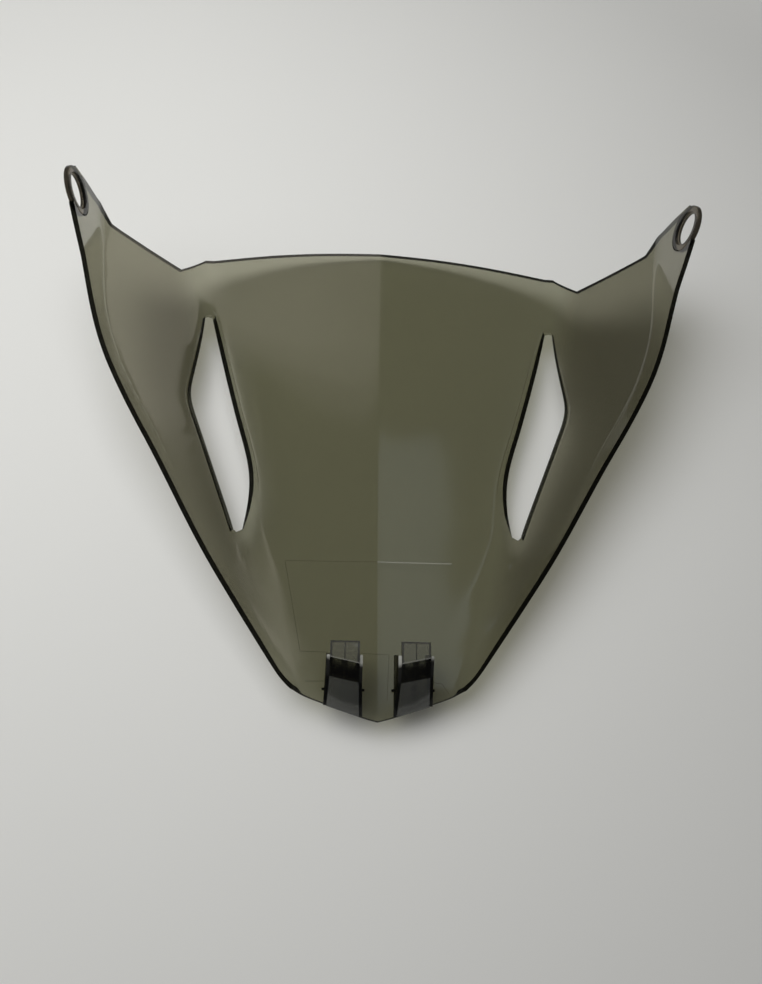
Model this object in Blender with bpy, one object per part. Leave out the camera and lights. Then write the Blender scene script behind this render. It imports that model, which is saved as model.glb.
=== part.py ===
"""Scooter windshield screen: one smoked moulding, two lower hook clips and two ear eyelets.

Metres, +Z up. The screen lies on its outer face, as it does on a bench: -Y is the pointed
lower end that hooks onto the front panel, +Y the top edge, and the two ears stand up.
"""
import math

import bmesh
import bpy
from mathutils import Matrix, Vector

MM = 0.001

# Driving dimensions.
SCREEN_LENGTH = 332.3 * MM    # tip to top edge, along the middle
SCREEN_WIDTH = 382.0 * MM     # across the ears' outer faces, at their holes
EAR_HEIGHT = 89.0 * MM        # ear hole above the lowest line of the screen
WALL = 3.0 * MM               # moulded wall
SEAT_GAP = 0.3 * MM           # between pieces that touch

TIP_RISE = 16.0 * MM          # the keel climbs towards the tip
TIP_RISE_LENGTH = 162.0 * MM
TOP_RISE = 3.0 * MM           # and a little towards the top edge
TOP_RISE_LENGTH = 90.0 * MM
KEEL_HALF_ROUND = 6.0 * MM    # half width of the rounded keel
TOP_EDGE_SWEEP = 25.9 * MM    # top edge falls back this far at its corners
TOP_EDGE_PEAK = 0.23          # share of that sweep that is straight, from the keel out
NOTCH_DEPTH = 42.0 * MM       # and this far at the notches beside them
VERTEX_DEPTH = 26.0 * MM      # where the side panel turns up into the ear
EAR_LEAN = 0.12               # ear plate leans outwards, per unit of height
EAR_TOE = 0.13                # and closes in towards the tip, per unit of length
EAR_EDGE_SLOPE = 0.121        # far edge of the ear leans back, per unit of height
EAR_EDGE_REACH = 15.5 * MM    # far edge of the ear, from the middle of its hole

SLOT_LIP = 3.5 * MM           # inner edge of the slot stands up by this
SLOT_FLANGE_DROP = 4.0 * MM   # outer edge of the slot turns down by this
SLOT_FLANGE = 3.6 * MM        # width of that turned flange
SLOT_TAIL_TOP = 16.0 * MM     # gutters that run out of the slot's two ends
SLOT_TAIL_BOTTOM = 14.0 * MM
SLOT_END_ARC = 1.8 * MM       # the slot's ends bow out by this

EYELET_BORE = 9.4 * MM        # radius of the hole through the ear
EYELET_STEP = 10.4 * MM       # radius of the step on its inner half
EYELET_RADIUS = 14.2 * MM
EYELET_PROUD = 0.2 * MM       # eyelet stands off both faces of the ear by this

CLIP_TOP_WIDTH = 16.4 * MM    # tongue of the hook clip
CLIP_FOOT_WIDTH = 18.6 * MM   # web of the hook clip at the screen's edge
CLIP_CENTRE = 19.9 * MM       # clip's middle, from the keel
CLIP_HEIGHT = 24.0 * MM       # tongue above the screen's inner face
CLIP_LENGTH = 36.5 * MM       # from the screen's edge to the tongue's end
CLIP_PLATE = 2.6 * MM
CLIP_CHEEK = 1.8 * MM
CLIP_DRAFT = 0.25 * MM        # cheeks and rib thin out or lean by this, down to the screen
CLIP_RIB = 1.6 * MM
CLIP_NUB = 1.4 * MM           # locating nubs low on both cheeks
CLIP_NUB_AT = 17.5 * MM       # from the screen's tip

# The screen's long lines, drawn at 332.3 mm long, 191 mm to the ear and 89 mm high:
# distance from the tip, distance from the keel, height of the outer face.
DRAWN_LENGTH, DRAWN_HALF_WIDTH, DRAWN_HEIGHT = 332.3 * MM, 191.0 * MM, 89.0 * MM
PANEL_CREASE = [(0, 34, 18.6), (11, 38.5, 18.2), (57, 50.5, 12.3), (97, 67, 10), (117, 73.5, 9.6),
                (147, 76.6, 9.2), (197, 91.3, 11.5), (258, 108.4, 16), (307, 118.5, 17.2),
                (333, 124, 18)]
FOLD = [(0, 39, 20), (16, 46.5, 19.2), (57, 75.5, 18.5), (82, 91.8, 21.4), (119, 116.3, 28.4),
        (144, 130.2, 33.4), (165, 140.4, 37.4), (183, 152, 41.4), (213, 168, 44.5)]
FOLD_EAR = [(250, 47.6), (286, 49.5), (333, 51)]
RIM = [(17.4, 50, 23), (19.5, 52.5, 23.3), (23, 56, 23.9), (33.5, 63.6, 25.8), (57, 80, 30),
       (92, 103.5, 37), (149, 136.8, 48.5), (177, 153.8, 55), (205, 168.4, 61.5),
       (218, 173.6, 64.3), (233, 178.3, 67.5)]
RIM_EAR = [(250, 71.2), (258.5, 75.8), (265, 80.5), (271.5, 85.8), (285, 95.5), (333, 130)]
EAR_START = 250.0             # from here on the ear is a true plane
SLOT_INNER = [(90, 83), (108, 84.2), (124, 82.7), (134, 81.6), (141, 81.4), (148, 82),
              (161, 85), (180, 91.2), (200, 97.4), (226, 105), (254, 112.9), (275, 118.5)]
SLOT_OUTER = [(90, 84.5), (108, 90.2), (198, 126), (258.5, 120.6), (275, 121.5)]
SLOT_BOTTOM, SLOT_INNER_CORNER, SLOT_OUTER_CORNER, SLOT_TOP = 111.0, 147.0, 197.5, 260.0
EAR_HOLE_AT = 298.3           # the ear hole's distance from the tip
ROWS = [0, 5, 12, 22, 35, 48, 62, 78, 92, 102, 111, 118, 127, 137, 147, 157, 168, 180, 189,
        197.5, 206, 218, 232, 246, 260, 266, 273, 282, 295, 310, 332.3]
BOTTOM_EDGE = [(0, 0), (10, 2.4), (20.5, 5.5), (30, 8.6), (38.7, 11.6), (45, 14.2), (50, 17.4),
               (60, 25)]
BOTTOM_BLEND, TOP_BLEND = 92.0, 270.0
EAR_TURN = 12.0               # height over which the top edge turns up into the ear
NOTCH_ACROSS = 138.0          # notch, from the keel

STRETCH_X = (SCREEN_WIDTH / 2) / DRAWN_HALF_WIDTH
STRETCH_Y = SCREEN_LENGTH / DRAWN_LENGTH
STRETCH_Z = EAR_HEIGHT / DRAWN_HEIGHT


def smooth(points, at):
    """Value of a smooth curve through (position, value) points, without overshoot."""
    if at <= points[0][0]:
        (x0, y0), (x1, y1) = points[0], points[1]
        return y0 + (at - x0) * (y1 - y0) / (x1 - x0)
    if at >= points[-1][0]:
        (x0, y0), (x1, y1) = points[-2], points[-1]
        return y1 + (at - x1) * (y1 - y0) / (x1 - x0)
    slopes = [(b[1] - a[1]) / (b[0] - a[0]) for a, b in zip(points, points[1:])]
    tangents = [slopes[0]]
    for left, right in zip(slopes, slopes[1:]):
        tangents.append(0.0 if left * right <= 0 else 2 * left * right / (left + right))
    tangents.append(slopes[-1])
    i = max(k for k in range(len(points) - 1) if points[k][0] <= at)
    (x0, y0), (x1, y1) = points[i], points[i + 1]
    h = x1 - x0
    t = (at - x0) / h
    return (y0 * (1 + 2 * t) * (1 - t) ** 2 + tangents[i] * h * t * (1 - t) ** 2
            + y1 * t * t * (3 - 2 * t) + tangents[i + 1] * h * t * t * (t - 1))


def rounded(points, at, blend):
    """Value of a polyline whose corners are rounded over blend on each side."""
    for i in range(len(points) - 1):
        if at <= points[i + 1][0] or i == len(points) - 2:
            break
    (x0, y0), (x1, y1) = points[i], points[i + 1]
    slope = (y1 - y0) / (x1 - x0)
    value = y0 + slope * (at - x0)
    for corner in (i, i + 1):
        if 0 < corner < len(points) - 1 and abs(at - points[corner][0]) < blend:
            xa, ya = points[corner - 1]
            xb, yb = points[corner]
            xc, yc = points[corner + 1]
            turn = (yc - yb) / (xc - xb) - (yb - ya) / (xb - xa)
            value += turn * (blend - abs(at - xb)) ** 2 / (4 * blend)
    return value


def ramp(at, start, end):
    """Smooth step from 0 at start to 1 at end."""
    t = min(1.0, max(0.0, (at - start) / (end - start)))
    return t * t * (3 - 2 * t)


def drawn(at):
    """Distance from the tip in millimetres of the drawn screen."""
    return at / STRETCH_Y / MM


def keel_height(at):
    """Height of the outer face along the middle, at a distance from the tip."""
    tip = max(0.0, TIP_RISE_LENGTH * STRETCH_Y - at) / (TIP_RISE_LENGTH * STRETCH_Y)
    top = max(0.0, at - SCREEN_LENGTH + TOP_RISE_LENGTH) / TOP_RISE_LENGTH
    return TIP_RISE * tip ** 2 + TOP_RISE * top ** 2


def ear_plane(at, height):
    """Distance from the keel of the ear plate's outer face."""
    hole_at = EAR_HOLE_AT * MM * STRETCH_Y
    return SCREEN_WIDTH / 2 + EAR_LEAN * (height - EAR_HEIGHT) + EAR_TOE * (at - hole_at)


def line_point(points, ear_heights, at):
    """Point (from the keel, height) of a long line; on the ear it lies in the ear's plane."""
    d = drawn(at)
    if d >= EAR_START and ear_heights:
        height = smooth(ear_heights, d) * MM * STRETCH_Z
        return ear_plane(at, height), height
    stations = list(points)
    for position, height in ear_heights[:2]:
        x = ear_plane(position * MM * STRETCH_Y, height * MM * STRETCH_Z)
        stations.append((position, x / STRETCH_X / MM, height))
    across = smooth([(p, x) for p, x, z in stations], d) * MM * STRETCH_X
    height = smooth([(p, z) for p, x, z in stations], d) * MM * STRETCH_Z
    return across, height


def slot_lines(at):
    """Distances from the keel of the vent slot's two sides."""
    inner = smooth(SLOT_INNER, drawn(at)) * MM * STRETCH_X
    return inner, rounded(SLOT_OUTER, drawn(at), 9.0) * MM * STRETCH_X


def slot_strength(at, bottom_tail, top_tail):
    """1 along the slot, fading to 0 at the ends of its tails."""
    d = drawn(at)
    rise = ramp(d, SLOT_BOTTOM - bottom_tail / MM, SLOT_BOTTOM)
    return rise * (1 - ramp(d, SLOT_TOP, SLOT_TOP + top_tail / MM))


def bezier(a, b, c, t):
    """Point on the quadratic curve that rounds the corner b."""
    return (a[0] * (1 - t) ** 2 + 2 * b[0] * t * (1 - t) + c[0] * t * t,
            a[1] * (1 - t) ** 2 + 2 * b[1] * t * (1 - t) + c[1] * t * t)


def towards(a, b, distance):
    """Point at a distance from a on the line to b, no further than two fifths of it."""
    length = math.hypot(b[0] - a[0], b[1] - a[1])
    t = min(distance / length, 0.4)
    return a[0] + (b[0] - a[0]) * t, a[1] + (b[1] - a[1]) * t


def from_keel(across):
    """Distance from the keel with the keel's rounding taken off."""
    if across < KEEL_HALF_ROUND:
        return across * across / (2 * KEEL_HALF_ROUND)
    return across - KEEL_HALF_ROUND / 2


def panel_height(across, at):
    """Height of the middle panel's outer face: a V at the tip that softens to an arc."""
    crease = line_point(PANEL_CREASE, [], at)
    arc = 0.10 + 0.55 * ramp(drawn(at), 150, 300)
    keel = keel_height(at)
    vee = from_keel(across) / from_keel(crease[0])
    return keel + (crease[1] - keel) * ((1 - arc) * vee + arc * (across / crease[0]) ** 2)


KEEL_COLUMNS, PANEL_COLUMNS, CREASE_COLUMNS, SLOT_COLUMNS = 2, 3, 3, 7
SIDE_COLUMNS, FOLD_COLUMNS, WALL_COLUMNS = 2, 5, 3
SLOT_FIRST = KEEL_COLUMNS + PANEL_COLUMNS + CREASE_COLUMNS
SLOT_EDGE_IN = SLOT_FIRST + 2
SLOT_EDGE_OUT = SLOT_FIRST + 4


def section(at_of_column):
    """Points (across, along, height) of one half section's outer face, keel first."""
    count = (KEEL_COLUMNS + PANEL_COLUMNS + CREASE_COLUMNS + SLOT_COLUMNS
             + SIDE_COLUMNS + FOLD_COLUMNS + WALL_COLUMNS)
    return [section_point(column, at_of_column(column)) for column in range(count)]


def section_point(column, at):
    """One point of the section at a distance from the tip."""
    crease = line_point(PANEL_CREASE, [], at)
    fold = line_point(FOLD, FOLD_EAR, at)
    rim = line_point(RIM, RIM_EAR, at)
    softness = ramp(drawn(at), 262, 300) + 1 - ramp(drawn(at), 20, 130)
    crease_round = (1.6 + 5.0 * min(1.0, softness)) * MM
    fold_round = (5.0 + 8.0 * ramp(drawn(at), 285, 315)) * MM
    before_crease = (crease[0] - crease_round, panel_height(crease[0] - crease_round, at))
    after_crease = towards(crease, fold, crease_round)
    fold_in = towards(fold, crease, fold_round)
    fold_out = towards(fold, rim, fold_round)

    if column < KEEL_COLUMNS:
        across = column * KEEL_HALF_ROUND
        return across, at, panel_height(across, at)
    column -= KEEL_COLUMNS
    if column < PANEL_COLUMNS:
        t = (column + 1) / (PANEL_COLUMNS + 1)
        across = KEEL_HALF_ROUND + (before_crease[0] - KEEL_HALF_ROUND) * t
        return across, at, panel_height(across, at)
    column -= PANEL_COLUMNS
    if column < CREASE_COLUMNS:
        p = bezier(before_crease, crease, after_crease, column / (CREASE_COLUMNS - 1))
        return p[0], at, p[1]
    column -= CREASE_COLUMNS
    if column < SLOT_COLUMNS:
        return slot_point(column, at, after_crease, fold_in)
    column -= SLOT_COLUMNS
    if column < SIDE_COLUMNS:
        start = slot_point(SLOT_COLUMNS - 1, at, after_crease, fold_in)
        t = (column + 1) / (SIDE_COLUMNS + 1)
        return (start[0] + (fold_in[0] - start[0]) * t, at,
                start[2] + (fold_in[1] - start[2]) * t)
    column -= SIDE_COLUMNS
    if column < FOLD_COLUMNS:
        p = bezier(fold_in, fold, fold_out, column / (FOLD_COLUMNS - 1))
        return p[0], at, p[1]
    t = (column - FOLD_COLUMNS + 1) / WALL_COLUMNS
    return (fold_out[0] + (rim[0] - fold_out[0]) * t, at,
            fold_out[1] + (rim[1] - fold_out[1]) * t)


def slot_point(column, at, after_crease, fold_in):
    """Point on the lip, the gutter or the turned flange of the vent slot."""
    d = drawn(at)
    inner, outer = slot_lines(at)
    lip = (SLOT_LIP + WALL) * (0.1 + 0.9 * ramp(d, SLOT_BOTTOM + 18, SLOT_INNER_CORNER - 4))
    lip *= ramp(d, SLOT_BOTTOM - 10, SLOT_BOTTOM) * (1 - ramp(d, SLOT_TOP - 36, SLOT_TOP + 9))
    gutter = SLOT_FLANGE_DROP * slot_strength(at, SLOT_TAIL_BOTTOM, SLOT_TAIL_TOP)
    gutter *= 1 - 0.45 * ramp(d, SLOT_TOP - 30, SLOT_TOP)
    middle = (inner + outer) / 2
    places = [(inner - 3.9 * MM, 0.0), (inner - 1.4 * MM, 0.15 * lip), (inner, lip),
              (middle, -gutter), (outer, -gutter), (outer + 0.45 * SLOT_FLANGE, -0.5 * gutter),
              (outer + SLOT_FLANGE, 0.0)]
    across, offset = places[column]
    across = min(max(across, after_crease[0] + 0.3 * (column + 1) * MM), fold_in[0])
    share = (column + 1) / (SLOT_COLUMNS + SIDE_COLUMNS + 1)
    low = 1 - ramp(d, SLOT_BOTTOM - 42, SLOT_BOTTOM - 10)
    across += (after_crease[0] + (fold_in[0] - after_crease[0]) * share - across) * low
    share = (column + 1) / SLOT_COLUMNS
    high = ramp(d, SLOT_TOP + 4, SLOT_TOP + 32)
    across += (after_crease[0] + (NOTCH_ACROSS * MM * STRETCH_X - after_crease[0]) * share
               - across) * high
    t = (across - after_crease[0]) / (fold_in[0] - after_crease[0])
    return across, at, after_crease[1] + (fold_in[1] - after_crease[1]) * t + offset


def bottom_edge(across):
    """Distance of the pointed lower edge from the tip, by distance from the keel."""
    return smooth(BOTTOM_EDGE, across / STRETCH_X / MM) * MM * STRETCH_Y


def top_edge(column):
    """Distance of the top edge from the tip, for one column of the section."""
    corner = KEEL_COLUMNS + PANEL_COLUMNS + 1
    notch = SLOT_FIRST + SLOT_COLUMNS - 1
    vertex = notch + SIDE_COLUMNS + 1
    if column <= corner:
        across = section_point(column, SCREEN_LENGTH - TOP_EDGE_SWEEP)[0]
        crease = section_point(corner, SCREEN_LENGTH - TOP_EDGE_SWEEP)[0]
        share = across / crease
        return SCREEN_LENGTH - TOP_EDGE_SWEEP * (TOP_EDGE_PEAK * share
                                                 + (1 - TOP_EDGE_PEAK) * share ** 2)
    if column <= notch:
        t = (column - corner) / (notch - corner)
        return SCREEN_LENGTH - TOP_EDGE_SWEEP + (TOP_EDGE_SWEEP - NOTCH_DEPTH) * t
    if column <= vertex:
        t = (column - notch) / (vertex - notch)
        return SCREEN_LENGTH - NOTCH_DEPTH + (NOTCH_DEPTH - VERTEX_DEPTH) * t
    height = section_point(column, SCREEN_LENGTH - VERTEX_DEPTH)[2]
    base = section_point(vertex, SCREEN_LENGTH - VERTEX_DEPTH)[2]
    straight = EAR_HOLE_AT * MM * STRETCH_Y + EAR_EDGE_REACH
    straight -= EAR_EDGE_SLOPE * (height - EAR_HEIGHT)
    start = SCREEN_LENGTH - VERTEX_DEPTH
    return start + (straight - start) * ramp(height, base, base + EAR_TURN * MM)


def row_place(row, column):
    """Distance from the tip of a row of the screen's grid in one column."""
    at = ROWS[row] * MM * STRETCH_Y
    low, high = BOTTOM_BLEND * MM * STRETCH_Y, TOP_BLEND * MM * STRETCH_Y
    if at < low:
        edge = bottom_edge(section_point(column, 17.4 * MM * STRETCH_Y)[0])
        return edge + at * (low - edge) / low
    if at > high:
        return high + (at - high) * (top_edge(column) - high) / (SCREEN_LENGTH - high)
    if column == SLOT_EDGE_IN + 1 and ROWS[row] == SLOT_TOP:
        return at + SLOT_END_ARC
    if column == SLOT_EDGE_IN + 1 and ROWS[row] == SLOT_BOTTOM:
        return at - SLOT_END_ARC
    return at


def world(point, side=1):
    """World place of a (across, along, height) point."""
    return Vector((side * point[0], point[1] - SCREEN_LENGTH / 2, point[2]))


def make_material(name, colour, roughness, alpha=1.0):
    """Plain material that carries a sub-part's colour."""
    material = bpy.data.materials.new(name)
    material.use_nodes = True
    shader = material.node_tree.nodes["Principled BSDF"]
    shader.inputs["Base Color"].default_value = (*colour, 1.0)
    shader.inputs["Roughness"].default_value = roughness
    shader.inputs["Alpha"].default_value = alpha
    return material


def face_outwards(bm):
    """Turn every face of a closed bmesh outwards."""
    bmesh.ops.recalc_face_normals(bm, faces=bm.faces)
    if bm.calc_volume(signed=True) < 0:
        bmesh.ops.reverse_faces(bm, faces=bm.faces)


def make_object(name, bm, material=None):
    """Object in the scene from a bmesh."""
    mesh = bpy.data.meshes.new(name)
    bm.to_mesh(mesh)
    bm.free()
    thing = bpy.data.objects.new(name, mesh)
    bpy.context.collection.objects.link(thing)
    if material:
        mesh.materials.append(material)
    return thing


def prism(name, outline, depth_low, depth_high, matrix):
    """Closed prism of an outline in a local plane, between two depths along its normal."""
    bm = bmesh.new()
    face = bm.faces.new([bm.verts.new((x, y, depth_low)) for x, y in outline])
    grown = bmesh.ops.extrude_face_region(bm, geom=[face])
    tops = [v for v in grown["geom"] if isinstance(v, bmesh.types.BMVert)]
    bmesh.ops.translate(bm, verts=tops, vec=(0, 0, depth_high - depth_low))
    bm.transform(matrix)
    face_outwards(bm)
    return make_object(name, bm)


def hide_tool(thing):
    """Mark an object as a cutter or a guide."""
    thing.hide_render = True
    thing.display_type = "WIRE"


def boolean(thing, tool, operation):
    """Exact Boolean with another object, which is hidden."""
    modifier = thing.modifiers.new(f"{operation.lower()}_{tool.name}", "BOOLEAN")
    modifier.operation = operation
    modifier.solver = "EXACT"
    modifier.object = tool
    hide_tool(tool)


def ear_matrix(side):
    """Plane of an ear: x along it towards the top edge, y up it, z outwards, at the hole."""
    normal = Vector((1, -EAR_TOE, -EAR_LEAN)).normalized()
    along = Vector((EAR_TOE, 1, 0)).normalized()
    up = normal.cross(along).normalized()
    centre = world((SCREEN_WIDTH / 2, EAR_HOLE_AT * MM * STRETCH_Y, EAR_HEIGHT))
    frame = Matrix((along, up, normal)).transposed().to_4x4()
    frame = Matrix.Translation(centre) @ frame
    return Matrix.Scale(side, 4, (1, 0, 0)) @ frame


def ear_local(at, height):
    """Place of a point of the ear plate in the ear's own plane."""
    point = world((ear_plane(at, height), at, height))
    local = ear_matrix(1).inverted() @ point
    return local.x, local.y


def ear_trim_outline():
    """Everything above the ear's rim line, with the eyelet's round seat."""
    radius = EYELET_RADIUS + SEAT_GAP
    low, high = [Vector(ear_local(d * MM * STRETCH_Y, smooth(RIM_EAR, d) * MM * STRETCH_Z))
                 for d in (271.5, 285)]
    run = (high - low).normalized()
    nearest = low + run * (-low.dot(run))
    meet = nearest - run * math.sqrt(radius ** 2 - nearest.length_squared)
    blunt = meet - run * 1.6 * MM
    first = math.atan2(meet.y, meet.x) + 0.08
    last = math.tau + math.radians(20)
    steps = 26
    seat = [(radius * math.cos(first + (last - first) * i / steps),
             radius * math.sin(first + (last - first) * i / steps)) for i in range(steps + 1)]
    far = 60 * MM
    line = [Vector(ear_local(d * MM * STRETCH_Y, smooth(RIM_EAR, d) * MM * STRETCH_Z))
            for d in (260, 265, 271.5)]
    lead = line[0] - run * 3 * MM + Vector((-run.y, run.x)) * 2 * MM
    return ([tuple(p) for p in [lead] + line + [blunt]] + seat
            + [(far, seat[-1][1] * far / seat[-1][0]), (far, far), (lead.x, far)])


def make_screen(material):
    """The smoked moulding: keel, side panels, turned rims, vent slots and ears."""
    columns = len(section(lambda column: SCREEN_LENGTH / 2))
    bm = bmesh.new()
    grid = []
    for row in range(len(ROWS)):
        half = [section_point(c, row_place(row, c)) for c in range(columns)]
        line = [bm.verts.new(world(p, -1)) for p in reversed(half[1:])]
        line += [bm.verts.new(world(p)) for p in half]
        grid.append(line)
    slot_rows = range(ROWS.index(SLOT_BOTTOM), ROWS.index(SLOT_TOP))
    for row in range(len(ROWS) - 1):
        for i in range(2 * columns - 2):
            column = i - (columns - 1)
            inner = column if column >= 0 else -column - 1
            if row in slot_rows and SLOT_EDGE_IN <= inner < SLOT_EDGE_OUT:
                continue
            bm.faces.new((grid[row][i], grid[row][i + 1], grid[row + 1][i + 1],
                          grid[row + 1][i]))
    loose = [v for v in bm.verts if not v.link_faces]
    bmesh.ops.delete(bm, geom=loose, context="VERTS")
    screen = make_object("screen_panel", bm, material)
    screen.data.shade_smooth()
    screen.data.set_sharp_from_angle(angle=math.radians(35))
    shell = screen.modifiers.new("wall", "SOLIDIFY")
    shell.thickness = WALL
    shell.offset = 1.0
    shell.use_even_offset = True
    for side, word in ((-1, "left"), (1, "right")):
        frame = ear_matrix(side)
        trim = prism(f"ear_trim_{word}", ear_trim_outline(), -20 * MM, 20 * MM, frame)
        boolean(screen, trim, "DIFFERENCE")
    return screen


def make_eyelet(word, side, material):
    """Turned eyelet seated in the round end of the ear."""
    low, high = -WALL - EYELET_PROUD, EYELET_PROUD
    middle = (low + high) / 2
    ease = 0.5 * MM
    profile = [(EYELET_BORE, high - ease), (EYELET_BORE, middle), (EYELET_STEP, middle),
               (EYELET_STEP, low + ease), (EYELET_STEP + ease, low), (EYELET_RADIUS - ease, low),
               (EYELET_RADIUS, low + ease), (EYELET_RADIUS, high - ease),
               (EYELET_RADIUS - ease, high), (EYELET_BORE + ease, high)]
    bm = bmesh.new()
    verts = [bm.verts.new((r, 0, z)) for r, z in profile]
    edges = [bm.edges.new((verts[i], verts[(i + 1) % len(verts)])) for i in range(len(verts))]
    bmesh.ops.spin(bm, geom=verts + edges, cent=(0, 0, 0), axis=(0, 0, 1),
                   angle=math.tau, steps=32, use_merge=True, use_duplicate=False)
    bmesh.ops.remove_doubles(bm, verts=bm.verts, dist=1e-6)
    bm.transform(ear_matrix(side))
    face_outwards(bm)
    eyelet = make_object(f"eyelet_{word}", bm, material)
    eyelet.data.shade_smooth()
    eyelet.data.set_sharp_from_angle(angle=math.radians(35))
    return eyelet


def inner_face_height(across, at):
    """Height of the middle panel's inner face."""
    return panel_height(across, at) + WALL


def clip_lines():
    """The clip plate's fold lines: (inner across, inner along, outer across, outer along, height)."""
    foot_in, foot_out = CLIP_CENTRE - CLIP_FOOT_WIDTH / 2, CLIP_CENTRE + CLIP_FOOT_WIDTH / 2
    top_in, top_out = CLIP_CENTRE - CLIP_TOP_WIDTH / 2, CLIP_CENTRE + CLIP_TOP_WIDTH / 2
    edge_in, edge_out = bottom_edge(foot_in), bottom_edge(foot_out)
    top = inner_face_height(CLIP_CENTRE, CLIP_LENGTH) + CLIP_HEIGHT
    skew = edge_out - edge_in
    middle = (edge_in + edge_out) / 2
    nose = 0.435 * CLIP_LENGTH
    root = 0.705 * CLIP_LENGTH
    return [(foot_in, edge_in, foot_out, edge_out, None),
            (top_in, middle + nose - 0.3 * skew, top_out, middle + nose + 0.3 * skew,
             top - 4.2 * MM),
            (top_in, middle + root - 0.3 * skew, top_out, middle + root + 0.3 * skew, top),
            (top_in, middle + CLIP_LENGTH, top_out, middle + CLIP_LENGTH, top)]


def make_mirrored(thing, name, material):
    """Copy of a finished piece on the other side of the keel."""
    finished = thing.evaluated_get(bpy.context.evaluated_depsgraph_get())
    bm = bmesh.new()
    bm.from_mesh(finished.to_mesh())
    finished.to_mesh_clear()
    bm.transform(Matrix.Scale(-1, 4, (1, 0, 0)))
    bmesh.ops.reverse_faces(bm, faces=bm.faces)
    return make_object(name, bm, material)


def make_clip(word, side, material):
    """Hook clip: a web off the screen's lower edge, a nose, a tongue, two cheeks and a rib."""
    lines = clip_lines()
    bm = bmesh.new()
    rings = []
    drops = [(0.0, 0.0), (0.75, -0.9), (0.25, -1.0), (0.0, -1.0)]
    for (xi, yi, xo, yo, z), (back, down) in zip(lines, drops):
        ring = []
        for x, y in ((xi, yi), (xo, yo)):
            if z is None:
                base = inner_face_height(x, y) + SEAT_GAP
                upper = (x, y, base)
                lower = (x, y + 1.35 * CLIP_PLATE,
                         inner_face_height(x, y + 1.35 * CLIP_PLATE) + SEAT_GAP)
            else:
                upper = (x, y, z)
                lower = (x, y + back * CLIP_PLATE, z + down * CLIP_PLATE)
            ring += [upper, lower]
        rings.append([bm.verts.new(world(p)) for p in (ring[0], ring[2], ring[3], ring[1])])
    for first, second in zip(rings, rings[1:]):
        for i in range(4):
            j = (i + 1) % 4
            bm.faces.new((first[i], first[j], second[j], second[i]))
    bm.faces.new(rings[0])
    bm.faces.new(rings[-1])
    bm.transform(Matrix.Scale(side, 4, (1, 0, 0)))
    face_outwards(bm)
    clip = make_object(f"hook_clip_{word}", bm, material)
    clip.data.shade_smooth()
    clip.data.set_sharp_from_angle(angle=math.radians(25))
    for tool in clip_walls(word, side, lines):
        boolean(clip, tool, "UNION")
    return clip


def wall_between(name, near, far, side, panes=None):
    """Closed wall between two matching outlines of world points, each split into panes."""
    bm = bmesh.new()
    a = [bm.verts.new(p) for p in near]
    b = [bm.verts.new(p) for p in far]
    for pane in panes or [range(len(near))]:
        bm.faces.new([a[i] for i in pane])
        bm.faces.new([b[i] for i in pane])
    for i in range(len(a)):
        j = (i + 1) % len(a)
        bm.faces.new((a[i], a[j], b[j], b[i]))
    bm.transform(Matrix.Scale(side, 4, (1, 0, 0)))
    face_outwards(bm)
    return make_object(name, bm)


def clip_walls(word, side, lines):
    """Cheeks with their nubs on both sides of the clip's plate, and the rib under its nose."""
    foot, nose, root, end = lines
    walls = []
    overlap = 0.5 * MM
    for name, i, out in (("inner", 0, -1), ("outer", 2, 1)):
        heel = foot[i + 1] + 0.4 * MM
        back = end[i + 1] - 0.10 * CLIP_LENGTH

        def across(along, shift):
            """Distance from the keel of the cheek's base, shift outwards from the plate's side."""
            share = (along - heel) / (back - heel)
            return foot[i] + (nose[i] - foot[i]) * share + out * (shift + CLIP_DRAFT * share)

        def base(along, shift):
            """Point of the cheek's base, on the screen."""
            x = across(along, shift)
            return world((x, along, inner_face_height(x, along) + SEAT_GAP))

        def outline(shift):
            """Cheek outline: along the screen, up the back, along under the plate."""
            top = nose[i] + out * shift
            return [base(heel, shift), base((heel + back) / 2, shift), base(back, shift),
                    world((top + out * 0.4 * CLIP_DRAFT, back - 4.3 * MM, root[4] - 5.0 * MM)),
                    world((top, back - 4.0 * MM, root[4] - 0.8 * MM)),
                    world((top, root[i + 1], root[4] - 0.6 * MM)),
                    world((top, nose[i + 1] + 0.4 * MM, nose[4] - 0.8 * MM))]

        def nub(shift):
            """Nub outline on the cheek, a little above the screen."""
            x = across(CLIP_NUB_AT, shift)
            low = inner_face_height(x, CLIP_NUB_AT) + SEAT_GAP + 0.8 * MM
            return [world((x, CLIP_NUB_AT + dy * CLIP_NUB / 2, low + dz * CLIP_NUB))
                    for dy, dz in ((-1, 0), (1, 0), (1, 1), (-1, 1))]
        panes = ((0, 1, 6), (1, 5, 6), (1, 4, 5), (1, 3, 4), (1, 2, 3))
        walls.append(wall_between(f"clip_{word}_{name}_cheek", outline(-overlap),
                                  outline(CLIP_CHEEK), side, panes))
        walls.append(wall_between(f"clip_{word}_{name}_nub", nub(CLIP_CHEEK - overlap),
                                  nub(CLIP_CHEEK + CLIP_NUB), side))
    rib = []
    for out in (-1, 1):
        x = CLIP_CENTRE + out * CLIP_RIB / 2
        low = x - out * CLIP_DRAFT
        heel = (foot[1] + foot[3]) / 2 + 2.2 * MM
        under_nose = (nose[1] + nose[3]) / 2 + 1.2 * MM
        rib.append([world((low, heel, inner_face_height(low, heel) + SEAT_GAP)),
                    world((low, heel + 9 * MM, inner_face_height(low, heel + 9 * MM) + SEAT_GAP)),
                    world((x, (root[1] + root[3]) / 2 + 2 * MM, root[4] - 1.2 * MM)),
                    world((x, under_nose, nose[4] - 1.0 * MM))])
    walls.append(wall_between(f"clip_{word}_rib", rib[0], rib[1], side))
    return walls


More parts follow.
